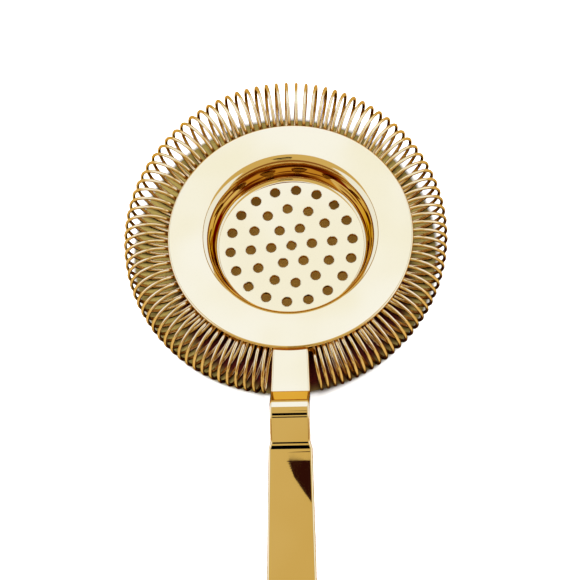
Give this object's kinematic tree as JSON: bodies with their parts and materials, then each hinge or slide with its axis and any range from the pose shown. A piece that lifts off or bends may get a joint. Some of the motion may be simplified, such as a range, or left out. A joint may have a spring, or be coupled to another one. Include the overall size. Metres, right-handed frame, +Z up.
{
  "type": "cocktail strainer",
  "caption": "Prongless Hawthorne cocktail strainer: perforated plate, bent strap handle and a coil spring running round under the rim.",
  "frame": {"origin": "centre of the bounding box in plan, at the height of the lowest point of the spring, which the strainer rests on", "axes": "+Z up, square to the plate's rim; the handle runs along -Y and the front of the spring is at +Y; +X is to the right as the handle points at the user"},
  "size_m": [0.0966, 0.191, 0.025],
  "materials": {
    "gold_plate": "mirror-polished gold plating",
    "gold_handle": "mirror-polished gold plating",
    "gold_wire": "drawn spring wire, gold-plated",
    "gold_fittings": "folded sheet, gold-plated"
  },
  "bodies": {
    "strainer": {"strainer_plate": "gold_plate", "handle": "gold_handle", "spring_anchor": "gold_fittings", "right_front_clip": "gold_fittings", "right_rear_clip": "gold_fittings", "left_front_clip": "gold_fittings", "left_rear_clip": "gold_fittings"},
    "spring": {"coil_spring": "gold_wire"}
  },
  "joints": [
    {"name": "spring_press", "type": "slide", "parent": "strainer", "child": "spring", "axis": [0, -1, 0], "range_m": [0, 0.002], "stiffness_N_per_m": 400, "deforming": ["coil_spring"]}
  ]
}
